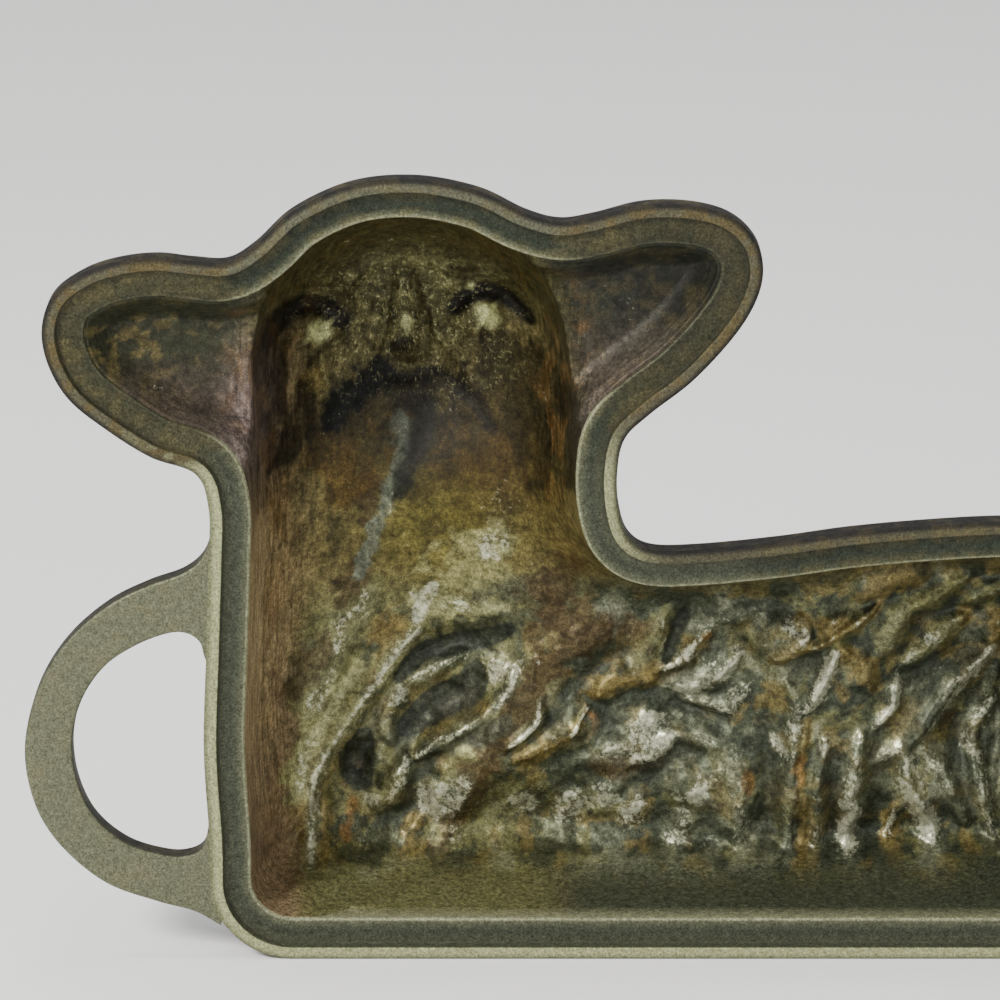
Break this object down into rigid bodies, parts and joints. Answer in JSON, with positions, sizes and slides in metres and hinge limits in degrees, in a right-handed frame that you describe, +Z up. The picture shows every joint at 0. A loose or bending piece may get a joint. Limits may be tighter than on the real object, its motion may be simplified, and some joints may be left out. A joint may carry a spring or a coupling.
{
  "type": "lamb cake mould",
  "caption": "Two-part cast-iron mould for a standing lamb cake, with a rabbeted rim, a mating tongue and a flat loop handle at each end of both halves.",
  "frame": {"origin": "on the front half's parting plane, in the middle of the front edge of its flat base", "axes": "+Z up from the base to the lamb's head, +X from the chest towards the rump of the front half, +Y from the parting plane into the front half's cavity"},
  "size_m": [0.6624, 0.0592, 0.196],
  "materials": {
    "front_iron": "old seasoned casting, satin, golden brown patina over grey iron",
    "back_iron": "old seasoned casting, satin, olive brown patina over grey iron"
  },
  "bodies": {
    "front": {"front_half": "front_iron"},
    "back": {"back_half": "back_iron"}
  },
  "joints": [
    {"name": "closing_swing", "type": "hinge", "parent": "front", "child": "back", "pos_m": [0.1657, -0.00015, 0], "axis": [0, 0, -1], "range_deg": [0, 180]}
  ]
}
